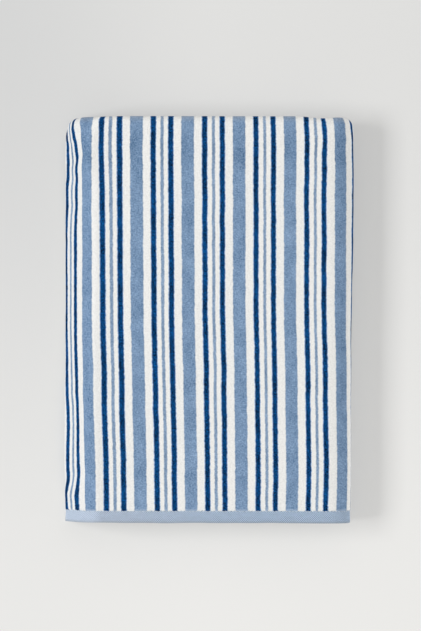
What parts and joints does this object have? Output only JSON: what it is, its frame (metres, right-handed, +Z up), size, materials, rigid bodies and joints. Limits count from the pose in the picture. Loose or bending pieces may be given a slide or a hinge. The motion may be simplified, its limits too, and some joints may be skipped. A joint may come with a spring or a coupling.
{
  "type": "bath towel",
  "caption": "Velour bath towel with blue, white and navy lengthwise stripes and flat woven hems, folded into a flat stack.",
  "frame": {"origin": "on the surface the towel rests on, under the middle of the folded stack", "axes": "+Z up; +Y along the stripes, from the hem that shows towards the far fold; +X to the right, away from the rolled side"},
  "size_m": [0.2536, 0.3542, 0.043],
  "materials": {
    "cotton_cloth": "cotton velour pile with yarn-dyed blue, white and navy stripes, and flat woven hems"
  },
  "bodies": {
    "root": {"towel_cloth": "cotton_cloth"}
  },
  "joints": []
}
